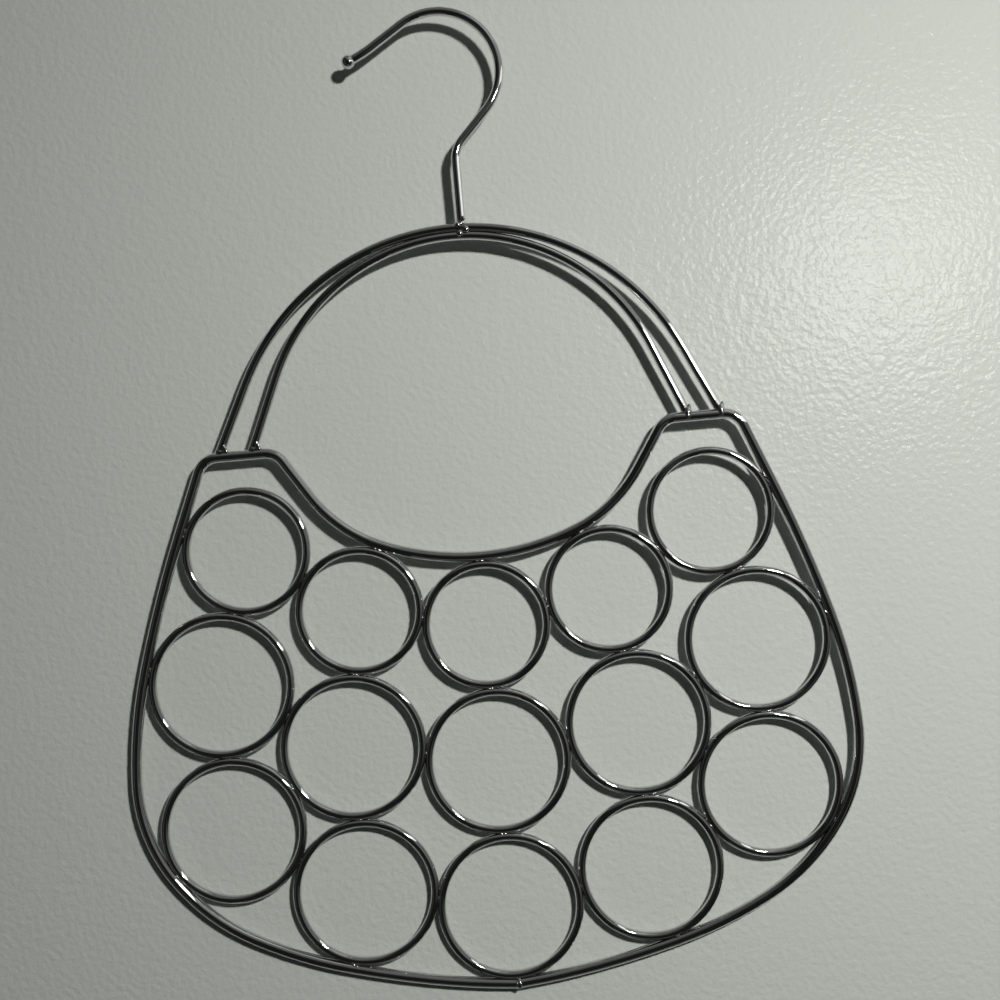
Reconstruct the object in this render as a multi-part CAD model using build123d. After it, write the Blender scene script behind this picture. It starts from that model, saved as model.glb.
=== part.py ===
from build123d import *
import os
from itertools import combinations
from math import acos, atan2, cos, degrees, radians, sin, sqrt, tan

os.makedirs("parts", exist_ok=True)

# A wire hanger for scarves in the outline of a handbag, bent and welded from round steel wire.
# It is drawn flat in the XY plane, x to the right and y up, and stood upright when it is written.
# The origin is the seat of the hook: the inside of its crown, where a rail touches it.
# Lengths are millimetres and angles are degrees, measured anticlockwise from +x.

# Wires
frame_wire_dia = 4.0
hook_wire_dia = 3.4
arch_wire_dia = 3.4
ring_wire_dia = 3.2

# How far two wires are pressed into each other where they are welded
ring_weld_sink = 0.4
frame_weld_sink = 0.3
arch_weld_sink = 0.2
stem_weld_sink = 0.8

# Rings
large_ring_bore = 50.0
small_ring_bore = 43.2
inner_step_angle = 10.3
outer_step_angle = 30.0

# Heights
seat_to_handle_crown = 82.0
handle_crown_to_shoulder = 80.3
shoulder_clearance = 10.06

# Hook
hook_opening_dia = 43.4
stem_offset = 3.7
neck_run_angle = 46.4
neck_bend_radius = 12.5
tip_slope_angle = 33.0
tip_straight_length = 14.0
tip_flare_radius = 58.0
tip_flare_angle = 9.0
tip_ball_dia = 5.2

# Handle: each foot stands at its share of the shoulder bar, counted from the bar's inner corner
outer_foot_share = 0.757
outer_leg_angle = 64.4
inner_foot_share = 0.305
inner_leg_angle = 67.2

# Frame: the angle on each ring where the frame wire lies against it
middle_end_contact_angle = 16.0
bottom_end_contact_angle = -35.0
bottom_next_contact_angle = -75.0
bottom_middle_contact_angle = -85.0
shoulder_width = 28.29
shoulder_bend_radius = 8.0
dip_side_radius = 55.2
dip_side_angle = 57.0

# Weld metal: each weld stands this far proud of the wire that it joins
butt_weld_width = 1.2
butt_weld_upset = 0.3
hook_weld_upset = 0.7
hook_weld_drop = 0.5
crown_weld_upset = 0.4
foot_weld_upset = 1.0
foot_weld_drop = 0.6

# Rings whose centres are this close to their pitch count as touching
touch_tolerance = 0.05

upright = Rot(90, 0, 0)


def direction(angle):
    return Vector(cos(radians(angle)), sin(radians(angle)))


def write(shape, name):
    export_step(upright * shape, f"parts/{name}.step")


def round_lump(centre, radius):
    # A ball whose own seam faces left, clear of the wires and bends that cut into it
    return Pos(centre) * Rot(0, 0, 180) * Sphere(radius)


def bent_wire(edges, dia):
    # Round wire along a smooth path of lines and arcs
    path = Wire(edges)
    section = Plane(origin=path @ 0, z_dir=path % 0) * Circle(dia / 2)
    return sweep(section, path)


def two_arcs(start, start_heading, end, end_heading):
    # A smooth run between two points: two arcs that meet with one tangent
    leaving, arriving = direction(start_heading), direction(end_heading)
    span = end - start
    lean = span.dot(leaving + arriving)
    turn = 2 * (1 - leaving.dot(arriving))
    reach = (sqrt(lean**2 + turn * span.dot(span)) - lean) / turn
    middle = (start + end + (leaving - arriving) * reach) * 0.5
    first = TangentArc(start, middle, tangent=leaving)
    second = TangentArc(middle, end, tangent=first % 1)
    return [first, second]


# Ring layout: a large ring in the middle, its neighbours at the two step angles, a row of
# large rings straight below, and a row of small rings that rest on the middle row. It is laid
# out from the middle ring and then hung so that the top row clears the shoulder bars.
large_ring_radius = (large_ring_bore + ring_wire_dia) / 2
small_ring_radius = (small_ring_bore + ring_wire_dia) / 2


def pitch(radius_a, radius_b):
    return radius_a + radius_b + ring_wire_dia - ring_weld_sink


def nested(left, left_pitch, right, right_pitch):
    # The upper point at the two pitches from a ring on the left and one on the right
    span = right - left
    along = (left_pitch**2 - right_pitch**2 + span.dot(span)) / (2 * span.length)
    above = sqrt(left_pitch**2 - along**2)
    unit = span.normalized()
    return left + unit * along + Vector(-unit.Y, unit.X) * above


large_pitch = pitch(large_ring_radius, large_ring_radius)
mixed_pitch = pitch(large_ring_radius, small_ring_radius)
small_pitch = pitch(small_ring_radius, small_ring_radius)

handle_crown_y = -seat_to_handle_crown
shoulder_y = handle_crown_y - handle_crown_to_shoulder
middle_3 = Vector(0, 0)
middle_4 = middle_3 + direction(inner_step_angle) * large_pitch
middle_5 = middle_4 + direction(outer_step_angle) * large_pitch
bottom_3, bottom_4, bottom_5 = [c - Vector(0, large_pitch) for c in (middle_3, middle_4, middle_5)]
top_3 = middle_3 + Vector(0, mixed_pitch)
top_4 = nested(top_3, small_pitch, middle_4, mixed_pitch)
top_5 = nested(top_4, small_pitch, middle_5, mixed_pitch)

top_ring_drop = shoulder_clearance + (frame_wire_dia + ring_wire_dia) / 2 + small_ring_radius
hang = Vector(0, shoulder_y - top_ring_drop - top_5.Y)
top_3, top_4, top_5 = [c + hang for c in (top_3, top_4, top_5)]
middle_3, middle_4, middle_5 = [c + hang for c in (middle_3, middle_4, middle_5)]
bottom_3, bottom_4, bottom_5 = [c + hang for c in (bottom_3, bottom_4, bottom_5)]


def mirrored(point):
    return Vector(-point.X, point.Y)


rows = {
    "top": (small_ring_radius, (top_3, top_4, top_5)),
    "middle": (large_ring_radius, (middle_3, middle_4, middle_5)),
    "bottom": (large_ring_radius, (bottom_3, bottom_4, bottom_5)),
}
rings = {}
for row, (radius, (third, fourth, fifth)) in rows.items():
    centres = (mirrored(fifth), mirrored(fourth), third, fourth, fifth)
    for number, centre in enumerate(centres, start=1):
        rings[f"ring_{row}_{number}"] = (centre, radius)


# Frame wire: one closed outline, worked out for the right half and mirrored
def frame_reach(radius):
    # From a ring's centre to the middle of the frame wire that lies against it
    return radius + (ring_wire_dia + frame_wire_dia) / 2 - frame_weld_sink


large_reach = frame_reach(large_ring_radius)
small_reach = frame_reach(small_ring_radius)

# The dip rests on the three middle rings of the top row, then climbs to the shoulder
dip_bottom = top_3 + Vector(0, small_reach)
step_up = dip_bottom.Y - top_4.Y
dip_radius = (top_4.X**2 + step_up**2 - small_reach**2) / (2 * (small_reach - step_up))
dip_centre = dip_bottom + Vector(0, dip_radius)
to_dip = dip_centre - top_4
dip_contact_angle = degrees(atan2(to_dip.Y, to_dip.X))
dip_contact = top_4 + direction(dip_contact_angle) * small_reach
side_centre = dip_contact + direction(dip_contact_angle) * dip_side_radius
side_start = side_centre - direction(dip_side_angle + 90) * dip_side_radius
inner_rise = (shoulder_y - side_start.Y) / sin(radians(dip_side_angle))
inner_corner = side_start + direction(dip_side_angle) * inner_rise

# From the other end of the shoulder the side runs straight down to the top row's end ring
outer_corner = inner_corner + Vector(shoulder_width, 0)
to_corner = outer_corner - top_5
top_end_contact_angle = degrees(atan2(to_corner.Y, to_corner.X) - acos(small_reach / to_corner.length))

contacts = [
    (bottom_3, large_reach, bottom_middle_contact_angle),
    (bottom_4, large_reach, bottom_next_contact_angle),
    (bottom_5, large_reach, bottom_end_contact_angle),
    (middle_5, large_reach, middle_end_contact_angle),
    (top_5, small_reach, top_end_contact_angle),
]
points = [centre + direction(angle) * reach for centre, reach, angle in contacts]
headings = [angle + 90 for _, _, angle in contacts]

butt = Vector(0, points[0].Y - points[0].X * tan(radians(headings[0])))
frame_edges = [Line(butt, points[0])]
for step in range(len(points) - 1):
    frame_edges += two_arcs(points[step], headings[step], points[step + 1], headings[step + 1])

shoulder = FilletPolyline(points[-1], outer_corner, inner_corner, side_start, radius=shoulder_bend_radius)
dip_side = TangentArc(side_start, dip_contact, tangent=-direction(dip_side_angle))
dip_half = TangentArc(dip_contact, dip_bottom, tangent=dip_side % 1)
frame_edges += [*shoulder.edges(), dip_side, dip_half]

right_half = bent_wire(frame_edges, frame_wire_dia)
butt_slot = Pos(butt) * Box(butt_weld_width, 2 * frame_wire_dia, 2 * frame_wire_dia)
frame = right_half + mirror(right_half, Plane.YZ) - butt_slot
write(frame, "frame_wire")

butt_disc = Cylinder(frame_wire_dia / 2 + butt_weld_upset, butt_weld_width)
butt_disc = fillet(butt_disc.edges().filter_by(GeomType.CIRCLE), butt_weld_upset)
butt_weld = Pos(butt) * Rot(0, 90, 0) * butt_disc
write(butt_weld, "frame_butt_weld")


# Rings, each pressed flat against its neighbours and seated on the frame wire
def touching(ring_a, ring_b):
    (centre_a, radius_a), (centre_b, radius_b) = ring_a, ring_b
    return (centre_b - centre_a).length < pitch(radius_a, radius_b) + touch_tolerance


ring_pairs = [pair for pair in combinations(rings, 2) if touching(rings[pair[0]], rings[pair[1]])]
ring_flats = {name: [] for name in rings}
for name_a, name_b in ring_pairs:
    across = (rings[name_b][0] - rings[name_a][0]).normalized()
    ring_flats[name_a].append(across)
    ring_flats[name_b].append(-across)

for name, (centre, radius) in rings.items():
    ring = Pos(centre) * Torus(radius, ring_wire_dia / 2)
    flat_offset = radius + (ring_wire_dia - ring_weld_sink) / 2
    for across in ring_flats[name]:
        ring = split(ring, Plane(origin=centre + across * flat_offset, z_dir=across), keep=Keep.BOTTOM)
    write(ring - frame - butt_weld, name)

# Handle: two arches with straight legs, the inner one tacked under the crown of the outer one
shoulder_top_y = shoulder_y + frame_wire_dia / 2


def arch(foot_offset, leg_angle, crown_y):
    slope = radians(leg_angle)
    height = crown_y - shoulder_top_y
    radius = (foot_offset * tan(slope) - height) / (sin(slope) * tan(slope) + cos(slope) - 1)
    bend_start = Vector(radius * sin(slope), crown_y - radius + radius * cos(slope))
    foot = Vector(foot_offset, shoulder_top_y) - direction(180 - leg_angle) * frame_wire_dia / 2
    leg = Line(foot, bend_start)
    top = TangentArc(bend_start, mirrored(bend_start), tangent=leg % 1)
    return bent_wire([leg, top, Line(mirrored(bend_start), mirrored(foot))], arch_wire_dia)


outer_foot_offset = inner_corner.X + shoulder_width * outer_foot_share
inner_foot_offset = inner_corner.X + shoulder_width * inner_foot_share
inner_crown_y = handle_crown_y - arch_wire_dia + arch_weld_sink
outer_wire = arch(outer_foot_offset, outer_leg_angle, handle_crown_y)
inner_wire = arch(inner_foot_offset, inner_leg_angle, inner_crown_y)
outer_arch = outer_wire - frame
inner_arch = inner_wire - frame - outer_wire
write(outer_arch, "outer_handle_arch")
write(inner_arch, "inner_handle_arch")

# Hook: stem, neck bend, run up to the round hook, and a straight tip with a slight flare
hook_radius = (hook_opening_dia + hook_wire_dia) / 2
hook_centre = Vector(0, -hook_opening_dia / 2)
hook_start = hook_centre + direction(neck_run_angle - 90) * hook_radius
neck_corner = Vector(stem_offset, hook_start.Y - (hook_start.X - stem_offset) * tan(radians(neck_run_angle)))
stem_foot = Vector(stem_offset, handle_crown_y + arch_wire_dia / 2 - stem_weld_sink)
neck = FilletPolyline(stem_foot, neck_corner, hook_start, radius=neck_bend_radius)
tip_heading = 180 + tip_slope_angle
hook_turn = tip_heading - neck_run_angle
hook_round = CenterArc(hook_centre, hook_radius, neck_run_angle - 90, hook_turn)
tip_start = hook_round @ 1
flare_start = tip_start + direction(tip_heading) * tip_straight_length
flare_centre = flare_start + direction(tip_heading - 90) * tip_flare_radius
flare = CenterArc(flare_centre, tip_flare_radius, tip_heading + 90, -tip_flare_angle)
hook_edges = [*neck.edges(), hook_round, Line(tip_start, flare_start), flare]
whole_hook = bent_wire(hook_edges, hook_wire_dia)
hook = whole_hook - outer_wire
write(hook, "hook_wire")

# Ball tip: a ball with a flat the size of the wire, butted on the end of the hook
ball_flat = sqrt(tip_ball_dia**2 - hook_wire_dia**2) / 2
ball_centre = flare @ 1 + (flare % 1) * ball_flat
ball = round_lump(ball_centre, tip_ball_dia / 2)
ball = split(ball, Plane(origin=flare @ 1, z_dir=flare % 1), keep=Keep.TOP)
write(ball, "hook_ball_tip")


# Welds of the hook and the handle: lumps of metal round the feet and in the groove between
# the arches, shaped by the wires that they join
hook_weld_centre = Vector(stem_offset, handle_crown_y + arch_wire_dia / 2 - hook_weld_drop)
hook_lump = round_lump(hook_weld_centre, hook_wire_dia / 2 + hook_weld_upset)
hook_weld = hook_lump - outer_wire - inner_wire - whole_hook
write(hook_weld, "hook_weld")

crown_weld_centre = Vector(stem_offset, (handle_crown_y + inner_crown_y) / 2)
crown_lump = round_lump(crown_weld_centre, arch_wire_dia / 2 + crown_weld_upset)
crown_weld = crown_lump - outer_wire - inner_wire - hook_lump
write(crown_weld, "handle_crown_weld")

foot_welds = []
for offset, wire in ((outer_foot_offset, outer_wire), (inner_foot_offset, inner_wire)):
    foot_centre = Vector(offset, shoulder_top_y - foot_weld_drop)
    foot_weld = round_lump(foot_centre, arch_wire_dia / 2 + foot_weld_upset) - frame - wire
    foot_welds += [foot_weld, Rot(0, 180, 0) * foot_weld]
write(Compound(foot_welds), "handle_foot_welds")
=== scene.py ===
import math

import bpy
from mathutils import Matrix, Vector


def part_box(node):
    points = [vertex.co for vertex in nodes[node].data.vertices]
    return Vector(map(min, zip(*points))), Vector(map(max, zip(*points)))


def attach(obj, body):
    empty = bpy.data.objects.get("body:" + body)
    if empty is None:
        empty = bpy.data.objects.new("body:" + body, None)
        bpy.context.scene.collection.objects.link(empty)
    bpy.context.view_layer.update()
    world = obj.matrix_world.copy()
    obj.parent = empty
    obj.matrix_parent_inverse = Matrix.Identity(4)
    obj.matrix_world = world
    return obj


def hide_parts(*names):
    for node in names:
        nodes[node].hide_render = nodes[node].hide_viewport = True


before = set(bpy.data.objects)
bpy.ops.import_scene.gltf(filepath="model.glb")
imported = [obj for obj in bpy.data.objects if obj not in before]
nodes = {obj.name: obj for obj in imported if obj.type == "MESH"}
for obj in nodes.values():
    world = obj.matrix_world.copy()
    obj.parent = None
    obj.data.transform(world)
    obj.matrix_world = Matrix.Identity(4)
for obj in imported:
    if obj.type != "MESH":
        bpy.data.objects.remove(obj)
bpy.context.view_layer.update()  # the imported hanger, in metres, with the seat of its hook at the origin
mm = 0.001
print("frame loaded:", len(nodes), "pieces")


# Small helpers

def toLinear(hexColour):
    # sRGB hex to the linear colour that the shaders take
    parts = [int(hexColour[i:i + 2], 16) / 255 for i in (1, 3, 5)]
    return [c / 12.92 if c <= 0.04045 else ((c + 0.055) / 1.055) ** 2.4 for c in parts] + [1]


def newMaterial(name):
    material = bpy.data.materials.new(name)
    material.use_nodes = True
    material.node_tree.nodes.clear()
    return material


def addNode(tree, kind, inputs=None, **settings):
    # one node: its settings, then its inputs, each a value or the output that feeds it
    node = tree.nodes.new(kind)
    for key, value in settings.items():
        setattr(node, key, value)
    for key, value in (inputs or {}).items():
        if isinstance(value, bpy.types.NodeSocket):
            tree.links.new(value, node.inputs[key])
        else:
            node.inputs[key].default_value = value
    return node


def deselectAll():
    bpy.ops.object.select_all(action="DESELECT")


def applyPlace():
    # the piece's place goes into its mesh, its object stays at the origin
    bpy.ops.object.transform_apply(location=True, rotation=True, scale=True)


# Chrome

chromePlate = {
    "colour": "#D2D3D4",
    "filmColour": "#C4C3C0",   # where handling has left a thin film
    "roughness": 0.03,
    "filmRoughness": 0.1,
    "filmSize": 14,            # mm across a smudge
    "filmFrom": 0.46, "filmTo": 0.72,   # where in the pattern a smudge begins and is full
    "grainSize": 0.7,          # mm, fine dust and plating grain
    "grainRoughness": 0.02,    # what the dust adds at most
    "rippleSize": 7,           # mm along the wire between its slight waves
    "rippleDepth": 0.006,      # mm
}


def chromeOnWire(name, look):
    # Nickel-chrome plate on drawn round steel wire: a near mirror, broken only by slight
    # waves in the wire, a film of fingerprints and fine dust
    material = newMaterial(name)
    tree = material.node_tree
    place = addNode(tree, "ShaderNodeTexCoord").outputs["Object"]
    film = addNode(tree, "ShaderNodeTexNoise", {
        "Vector": place, "Scale": 1 / (look["filmSize"] * mm), "Detail": 5, "Roughness": 0.6})
    filmShare = addNode(tree, "ShaderNodeMapRange", {
        "Value": film.outputs["Fac"], "From Min": look["filmFrom"], "From Max": look["filmTo"],
        "To Min": 0, "To Max": 1})
    grain = addNode(tree, "ShaderNodeTexNoise", {
        "Vector": place, "Scale": 1 / (look["grainSize"] * mm), "Detail": 2})
    colour = addNode(tree, "ShaderNodeMix", {
        "Factor": filmShare.outputs["Result"],
        "A": toLinear(look["colour"]), "B": toLinear(look["filmColour"])}, data_type="RGBA")
    rough = addNode(tree, "ShaderNodeMapRange", {
        "Value": filmShare.outputs["Result"],
        "To Min": look["roughness"], "To Max": look["filmRoughness"]})
    dusty = addNode(tree, "ShaderNodeMapRange", {
        "Value": grain.outputs["Fac"], "From Min": 0.3, "From Max": 0.8,
        "To Min": 0, "To Max": look["grainRoughness"]})
    roughSum = addNode(tree, "ShaderNodeMath", {0: rough.outputs["Result"], 1: dusty.outputs["Result"]})
    ripple = addNode(tree, "ShaderNodeTexNoise", {
        "Vector": place, "Scale": 1 / (look["rippleSize"] * mm), "Detail": 1})
    bump = addNode(tree, "ShaderNodeBump", {
        "Height": ripple.outputs["Fac"], "Strength": 1, "Distance": look["rippleDepth"] * mm})
    metal = addNode(tree, "ShaderNodeBsdfPrincipled", {
        "Base Color": colour.outputs["Result"], "Metallic": 1,
        "Roughness": roughSum.outputs["Value"], "Normal": bump.outputs["Normal"]})
    addNode(tree, "ShaderNodeOutputMaterial", {"Surface": metal.outputs["BSDF"]})
    return material


wireMaterial = chromeOnWire("bright nickel-chrome plate on drawn wire", chromePlate)
weldMaterial = chromeOnWire("nickel-chrome plate over weld metal", {
    **chromePlate, "colour": "#CDCDCC", "roughness": 0.08, "filmRoughness": 0.16,
    "rippleSize": 0.9, "rippleDepth": 0.003})

for name, node in nodes.items():
    node.data.materials.clear()
    node.data.materials.append(weldMaterial if "weld" in name else wireMaterial)
print("chrome on", len(nodes), "pieces")


# Welds

def join(parts, name):
    deselectAll()
    for part in parts:
        part.select_set(True)
    bpy.context.view_layer.objects.active = parts[0]
    bpy.ops.object.join()
    piece = bpy.context.object
    piece.name = name
    piece.data.name = name
    applyPlace()
    return piece


def useModifier(piece, kind, **settings):
    # adds one modifier with its settings and applies it
    deselectAll()
    piece.select_set(True)
    bpy.context.view_layer.objects.active = piece
    modifier = piece.modifiers.new(kind.lower(), kind)
    for key, value in settings.items():
        setattr(modifier, key, value)
    bpy.ops.object.modifier_apply(modifier=modifier.name)


weldMetal = {
    "voxel": 0.14,         # mm, how finely the lumps run together
    "smoothing": 0.6, "smoothPasses": 6,
    "unevenSize": 1.1,     # mm across the puddle's ripples
    "unevenDepth": 0.015,  # mm
    "frontFrom": -1.05,    # mm, a lump further forward than this lies flat on the front
    "flat": 0.62,          # its depth against its width
}
uneven = bpy.data.textures.new("uneven weld metal", "CLOUDS")
uneven.noise_scale = weldMetal["unevenSize"] * mm


def meltTogether(name, lumps):
    # balls of metal that have run together, as a torch leaves them
    parts = []
    for place, radius in lumps:
        deselectAll()
        depth = weldMetal["flat"] if place[1] < weldMetal["frontFrom"] else 1
        bpy.ops.mesh.primitive_ico_sphere_add(
            subdivisions=3, radius=radius * mm, location=Vector(place) * mm, scale=(1, depth, 1))
        parts.append(bpy.context.object)
    piece = join(parts, name)
    useModifier(piece, "REMESH", mode="VOXEL", voxel_size=weldMetal["voxel"] * mm)
    useModifier(piece, "SMOOTH", factor=weldMetal["smoothing"], iterations=weldMetal["smoothPasses"])
    useModifier(piece, "DISPLACE", texture=uneven, texture_coords="LOCAL",
                strength=weldMetal["unevenDepth"] * mm, mid_level=0.5)
    bpy.ops.object.shade_smooth()
    piece.data.materials.append(weldMaterial)
    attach(piece, "root")
    return piece


def placed(lumps, foot):
    # the lumps of one weld, moved to where it sits
    return [(foot + Vector(place), radius) for place, radius in lumps]


# The stem's foot: metal run down over the crown of the outer arch and onto the inner one
stemWeld = {
    "foot": (3.7, 0, -80.3),
    "lumps": [
        ((0, 0, -0.3), 1.9), ((0.3, 0, -2.6), 1.7), ((0.95, -1.6, 1.3), 0.95),
        ((1.55, -1.65, -2.9), 1.35), ((-1.45, -1.7, -1.0), 1.05), ((-0.85, -1.65, -4.3), 1.3),
        ((-0.3, 1.3, -1.9), 1.2), ((0.8, 1.3, -3.6), 1.1),
    ],
}
foot = Vector(stemWeld["foot"])
stemBead = meltTogether("stemWeldBead", placed(stemWeld["lumps"], foot))
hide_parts("hook_weld", "handle_crown_weld")

# The four feet of the arches on the shoulder bars: on the right the metal has run down over the
# bar and left a stub beside the leg, on the left it lies in the corner
footWelds = {
    "offsets": (96.48, 83.69),   # mm from the middle, outer and inner arch
    "level": -160.3,             # mm, the top of the shoulder bars
    "root": [((0, 0, -0.1), 1.95), ((-0.7, 0.9, -0.2), 1.4), ((1.0, -0.5, 0.1), 1.25)],
    "drop": [((0.5, -1.4, 0.7), 1.1), ((0.5, -1.7, -0.5), 1.3), ((0.45, -1.9, -1.7), 1.05),
             ((0.4, -2.0, -2.5), 0.75), ((1.3, -0.5, 1.6), 0.8), ((1.4, -0.5, 2.3), 0.6)],
    "fillet": [((1.6, -1.1, 2.4), 0.9), ((1.95, -1.1, 1.3), 1.1), ((2.4, -1.1, 0.1), 1.15)],
}
footBeads = []
for side in (-1, 1):
    for offset in footWelds["offsets"]:
        foot = Vector((side * offset, 0, footWelds["level"]))
        lumps = footWelds["root"] + footWelds["drop" if side > 0 else "fillet"]
        footBeads.append(meltTogether("footWeldBead", placed(lumps, foot)))
feet = join(footBeads, "footWeldBeads")
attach(feet, "root")
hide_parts("handle_foot_welds")

# The butt weld of the frame wire: a flash bead each side of the joint line
buttWeld = {
    "centre": (0, 0, -373.91),
    "profile": [(-0.62, 1.7), (-0.58, 2.02), (-0.34, 2.3), (-0.12, 2.14), (0, 1.86),
                (0.1, 2.1), (0.36, 2.34), (0.6, 2.05), (0.64, 1.7)],   # mm along the wire, radius
    "sides": 48, "unevenDepth": 0.1,
    "drop": [((0.8, -1.7, 1.0), 0.75), ((0.85, -1.85, 0.3), 0.9), ((0.85, -1.85, -0.5), 0.9),
             ((0.8, -1.75, -1.1), 0.7)],
}
deselectAll()
start, startRadius = buttWeld["profile"][0]
bpy.ops.mesh.primitive_circle_add(
    vertices=buttWeld["sides"], radius=startRadius * mm, fill_type="NGON",
    location=(start * mm, 0, buttWeld["centre"][2] * mm), rotation=(0, math.radians(90), 0))
butt = bpy.context.object
butt.name = "buttWeldBead"
applyPlace()
bpy.ops.object.mode_set(mode="EDIT")
bpy.ops.mesh.select_all(action="SELECT")
for (x0, r0), (x1, r1) in zip(buttWeld["profile"], buttWeld["profile"][1:]):
    bpy.ops.mesh.extrude_region_move(TRANSFORM_OT_translate={"value": ((x1 - x0) * mm, 0, 0)})
    bpy.ops.transform.resize(
        value=(1, r1 / r0, r1 / r0), center_override=(x1 * mm, 0, buttWeld["centre"][2] * mm))
bpy.ops.mesh.select_all(action="SELECT")
bpy.ops.mesh.remove_doubles(threshold=0.00001)
bpy.ops.mesh.normals_make_consistent(inside=False)
bpy.ops.object.mode_set(mode="OBJECT")
useModifier(butt, "SUBSURF", levels=2, render_levels=2)
useModifier(butt, "DISPLACE", texture=uneven, texture_coords="LOCAL",
            strength=buttWeld["unevenDepth"] * mm, mid_level=0.5)
bpy.ops.object.shade_smooth()
butt.data.materials.append(weldMaterial)
drop = meltTogether("buttWeldDrop", placed(buttWeld["drop"], Vector(buttWeld["centre"])))
butt = join([butt, drop], "buttWeldBead")
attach(butt, "root")
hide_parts("frame_butt_weld")
print("handle, hook and butt welds made")

# Flash at the resistance welds: a low lump in the groove, front and back, wherever two rings
# meet or a ring meets the frame
ringWelds = {
    "wire": 3.2, "sink": 0.4, "frameReach": 1.43,   # mm
    "smallRing": 23.2, "largeRing": 26.6,           # mm, to the middle of the wire
    "depth": 0.86,                                  # mm from the middle plane to the lump
    "frameFlash": 1.45,                             # how much larger the lumps are at the frame
    "lumps": [((0, 0, 0), 0.5), ((0.1, 0, 0.7), 0.42), ((-0.08, 0, -0.65), 0.4), ((0.05, -0.3, 1.2), 0.3)],
    "facesKept": 0.35,
    "frameTouches": {   # degrees round each ring, right half; the left half mirrors it
        "ring_top_3": [90], "ring_top_4": [112.4], "ring_top_5": [22], "ring_middle_5": [16],
        "ring_bottom_5": [-35], "ring_bottom_4": [-75], "ring_bottom_3": [-90]},
}


def ringCentre(name):
    low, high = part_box(name)
    return (low + high) / 2 / mm


ringNames = [name for name in nodes if name.startswith("ring_")]
radii = {name: ringWelds["smallRing"] if "top" in name else ringWelds["largeRing"] for name in ringNames}
touches = []
for i, first in enumerate(ringNames):
    for second in ringNames[i + 1:]:
        span = ringCentre(second) - ringCentre(first)
        if span.length < radii[first] + radii[second] + ringWelds["wire"]:
            reach = radii[first] + (ringWelds["wire"] - ringWelds["sink"]) / 2
            touches.append((ringCentre(first) + span.normalized() * reach, math.atan2(span.z, span.x), 1))
for name, angles in ringWelds["frameTouches"].items():
    for angle in angles:
        for side in (1, -1):
            ring = name if side > 0 else name[:-1] + str(6 - int(name[-1]))
            if side < 0 and ring == name:
                continue
            turn = math.radians(angle if side > 0 else 180 - angle)
            reach = radii[ring] + ringWelds["frameReach"]
            place = ringCentre(ring) + Vector((math.cos(turn), 0, math.sin(turn))) * reach
            touches.append((place, turn, ringWelds["frameFlash"]))

flash = meltTogether("weldFlash", ringWelds["lumps"])
useModifier(flash, "DECIMATE", ratio=ringWelds["facesKept"])
flashes = []
for number, (place, turn, size) in enumerate(touches):
    for face in (-1, 1):
        copy = flash.copy()
        copy.data = flash.data.copy()
        bpy.context.scene.collection.objects.link(copy)
        flip = math.pi if (number + (face > 0)) % 2 else 0
        copy.matrix_world = (
            Matrix.Translation((place + Vector((0, face * ringWelds["depth"], 0))) * mm)
            @ Matrix.Rotation(-turn, 4, "Y") @ Matrix.Rotation(flip, 4, "X") @ Matrix.Scale(size, 4))
        flashes.append(copy)
bpy.data.objects.remove(flash)
ringFlash = join(flashes, "ringWeldFlash")
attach(ringFlash, "root")
print("ring welds made at", len(touches), "places")


# Wall and floor

wallSize = {
    "gapAtHook": 9.99,         # mm from the hanger's middle plane to the wall, level with the seat
    "leanUp": 0.0191,          # the gap grows by this share of the height
    "leanRight": 0.0033,
    "width": 3.2, "height": 7.4, "floorLevel": -3.6, "floorPlace": -0.8, "floorSize": 2.4,   # metres
    "colour": "#B7BCB8", "floorColour": "#C4C4C0",
    "peelSize": 2.3,           # mm across the roller's orange peel
    "peelDepth": 0.34,
    "gloss": 0.25, "roughness": 0.24, "floorRoughness": 0.7,
}


def paintedWall():
    # Roller-painted plaster in eggshell paint: broad soft sheen over fine orange peel.
    # Its back is clear, so that the hanger can be seen from behind.
    material = newMaterial("eggshell wall paint")
    tree = material.node_tree
    place = addNode(tree, "ShaderNodeTexCoord").outputs["Object"]
    peel = addNode(tree, "ShaderNodeTexNoise", {
        "Vector": place, "Scale": 1 / (wallSize["peelSize"] * mm), "Detail": 3, "Roughness": 0.45})
    bump = addNode(tree, "ShaderNodeBump", {
        "Height": peel.outputs["Fac"], "Strength": 1, "Distance": wallSize["peelDepth"] * mm})
    paint = addNode(tree, "ShaderNodeBsdfPrincipled", {
        "Base Color": toLinear(wallSize["colour"]), "Roughness": wallSize["roughness"],
        "Specular IOR Level": wallSize["gloss"], "Normal": bump.outputs["Normal"]})
    clear = addNode(tree, "ShaderNodeBsdfTransparent")
    side = addNode(tree, "ShaderNodeNewGeometry").outputs["Backfacing"]
    mix = addNode(tree, "ShaderNodeMixShader", {0: side, 1: paint.outputs["BSDF"], 2: clear.outputs["BSDF"]})
    addNode(tree, "ShaderNodeOutputMaterial", {"Surface": mix.outputs["Shader"]})
    return material


def plainFloor():
    material = newMaterial("pale matt floor")
    tree = material.node_tree
    paint = addNode(tree, "ShaderNodeBsdfPrincipled", {
        "Base Color": toLinear(wallSize["floorColour"]), "Roughness": wallSize["floorRoughness"]})
    addNode(tree, "ShaderNodeOutputMaterial", {"Surface": paint.outputs["BSDF"]})
    return material


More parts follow.
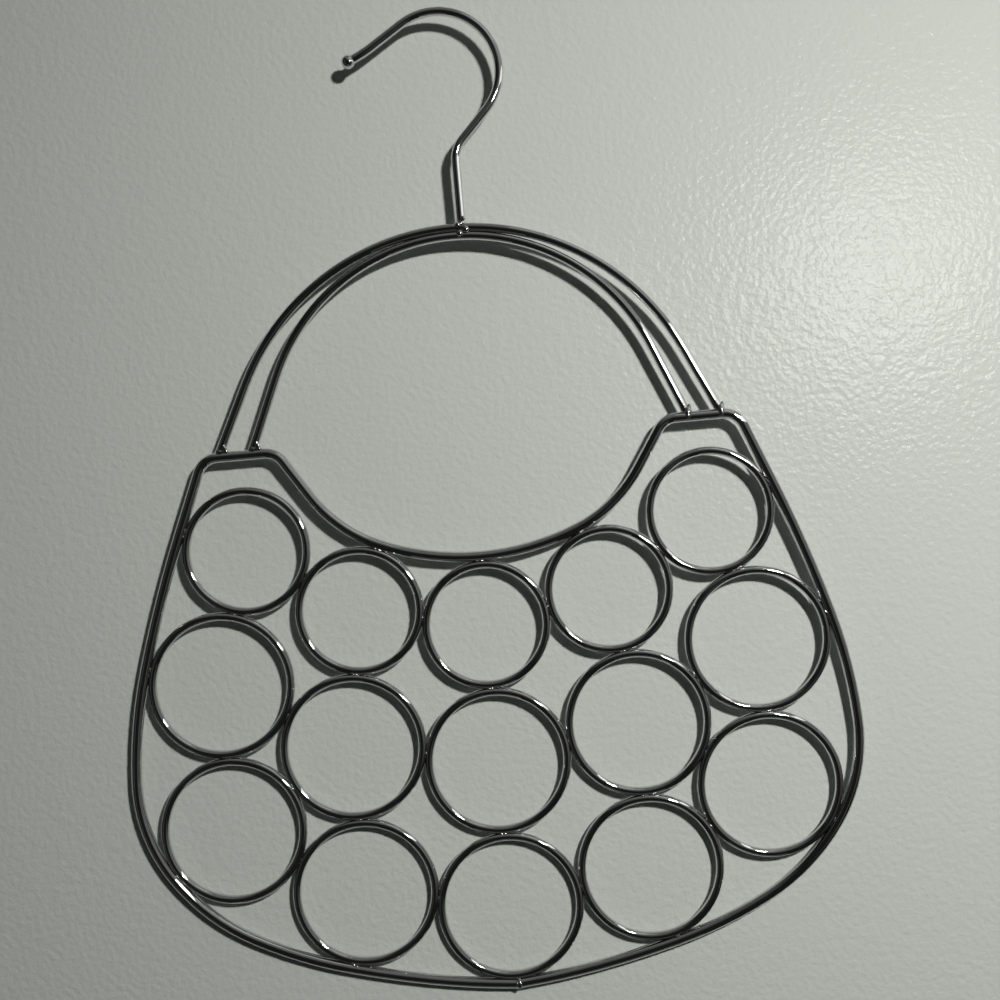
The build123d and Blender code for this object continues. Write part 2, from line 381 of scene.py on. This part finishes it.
deselectAll()
wallNormal = Vector((wallSize["leanRight"], -1, wallSize["leanUp"]))
wallTurn = wallNormal.to_track_quat("Z", "Y").to_euler()
bpy.ops.mesh.primitive_plane_add(size=1, location=(0, wallSize["gapAtHook"] * mm, 0), rotation=wallTurn)
wall = bpy.context.object
wall.name = "wall"
wall.scale = (wallSize["width"], wallSize["height"], 1)
applyPlace()
wall.data.materials.append(paintedWall())
deselectAll()
bpy.ops.mesh.primitive_plane_add(
    size=wallSize["floorSize"], location=(0, wallSize["floorPlace"], wallSize["floorLevel"]))
floor = bpy.context.object
floor.name = "floor"
applyPlace()
floor.data.materials.append(plainFloor())
print("wall and floor made")


# Light and camera

lamps = {
    # from and to: the ends of the long axis, and the point that it faces, mm; width across it,
    # metres; power in watts; the key lamp lights the matt things and its glow and the cards
    # stand for the bright room in the chrome
    "keyLamp": {"from": (300, -670, 111), "to": (365, -670, 111), "aim": (-150, 0, -700),
                "width": 0.065, "power": 8.0, "colour": "#FFFDF8", "rays": "diffuse"},
    "lampGlow": {"from": (352, -670, 28), "to": (438, -670, 28), "aim": (0, 0, -250),
                 "width": 0.086, "power": 1.7, "colour": "#FFFDF8", "rays": "glossy"},
    "rightCard": {"from": (500, -560, 85), "to": (500, 5, 85), "aim": (0, -280, 85),
                  "width": 0.14, "power": 0.3, "colour": "#FFFFFF", "rays": "glossy"},
    "rightWall": {"from": (500, -1200, 660), "to": (500, 5, 660), "aim": (0, -600, 660),
                  "width": 0.98, "power": 0.52, "colour": "#FFFFFF", "rays": "glossy"},
    "topCard": {"from": (160, -440, 600), "to": (640, -440, 600), "aim": (100, 0, -180),
                "width": 0.16, "power": 0.1, "colour": "#FFFFFF", "rays": "glossy"},
    "leftCard": {"from": (-540, -400, -900), "to": (-540, -400, 200), "aim": (0, 0, -350),
                 "width": 0.16, "power": 0.03, "colour": "#FFFFFF", "rays": "glossy"},
    "doorCard": {"from": (720, -1100, -1000), "to": (720, -1100, 100), "aim": (0, 0, -450),
                 "width": 0.3, "power": 0.08, "colour": "#FFFFFF", "rays": "glossy"},
}

for name, lamp in lamps.items():
    start, end = Vector(lamp["from"]) * mm, Vector(lamp["to"]) * mm
    light = bpy.data.lights.new(name, "AREA")
    light.shape = "RECTANGLE"
    light.size, light.size_y = (end - start).length, lamp["width"]
    light.energy = lamp["power"]
    light.color = toLinear(lamp["colour"])[:3]
    holder = bpy.data.objects.new(name, light)
    bpy.context.scene.collection.objects.link(holder)
    along = (end - start).normalized()
    back = (start + end) / 2 - Vector(lamp["aim"]) * mm
    back = (back - along * back.dot(along)).normalized()
    turn = Matrix((along, back.cross(along), back)).transposed().to_4x4()
    holder.matrix_world = Matrix.Translation((start + end) / 2) @ turn
    holder.visible_camera = False
    holder.visible_diffuse = lamp["rays"] == "diffuse"
    holder.visible_glossy = lamp["rays"] == "glossy"

room = {
    "dark": "#1C1C1B", "bright": "#6E6E6C", "back": "#858684",
    "brightSide": (0.64, 0, 0.77),           # to the right and up
    "brightFrom": 0.1, "brightFull": 0.6,    # share of the way there
    "backFull": 0.6,
}
world = bpy.data.worlds.new("room")
bpy.context.scene.world = world
world.use_nodes = True
tree = world.node_tree
tree.nodes.clear()
sky = addNode(tree, "ShaderNodeTexCoord").outputs["Generated"]
depth = addNode(tree, "ShaderNodeMapRange", {
    "Value": addNode(tree, "ShaderNodeSeparateXYZ", {"Vector": sky}).outputs["Y"],
    "From Min": 0, "From Max": room["backFull"], "To Min": 0, "To Max": 1}, interpolation_type="SMOOTHSTEP")
towardsBright = addNode(tree, "ShaderNodeVectorMath", {0: sky, 1: room["brightSide"]}, operation="DOT_PRODUCT")
brightness = addNode(tree, "ShaderNodeMapRange", {
    "Value": towardsBright.outputs["Value"], "From Min": room["brightFrom"], "From Max": room["brightFull"],
    "To Min": 0, "To Max": 1})
inFront = addNode(tree, "ShaderNodeMix", {
    "Factor": brightness.outputs["Result"],
    "A": toLinear(room["dark"]), "B": toLinear(room["bright"])}, data_type="RGBA")
shade = addNode(tree, "ShaderNodeMix", {
    "Factor": depth.outputs["Result"],
    "A": inFront.outputs["Result"], "B": toLinear(room["back"])}, data_type="RGBA")
glow = addNode(tree, "ShaderNodeBackground", {"Color": shade.outputs["Result"], "Strength": 1})
addNode(tree, "ShaderNodeOutputWorld", {"Surface": glow.outputs["Background"]})

view = {
    "lookAt": (9.4, 0, -188.0),   # mm, where the middle of the picture falls on the hanger
    "away": 443,                  # mm
    "focalPixels": 1150,          # for a picture 1000 pixels wide
    "sensor": 36,                 # mm
    "roll": 5.0,                  # degrees that the hanger leans in the picture
}
cameraData = bpy.data.cameras.new("camera")
cameraData.sensor_width = view["sensor"]
cameraData.lens = view["sensor"] * view["focalPixels"] / 1000
cameraData.clip_start = 0.01
camera = bpy.data.objects.new("camera", cameraData)
bpy.context.scene.collection.objects.link(camera)
camera.location = Vector(view["lookAt"]) * mm + Vector((0, -view["away"] * mm, 0))
camera.rotation_euler = (math.radians(90), math.radians(view["roll"]), 0)
bpy.context.scene.camera = camera
bpy.context.scene.view_settings.view_transform = "Standard"
print("lamps and camera set")
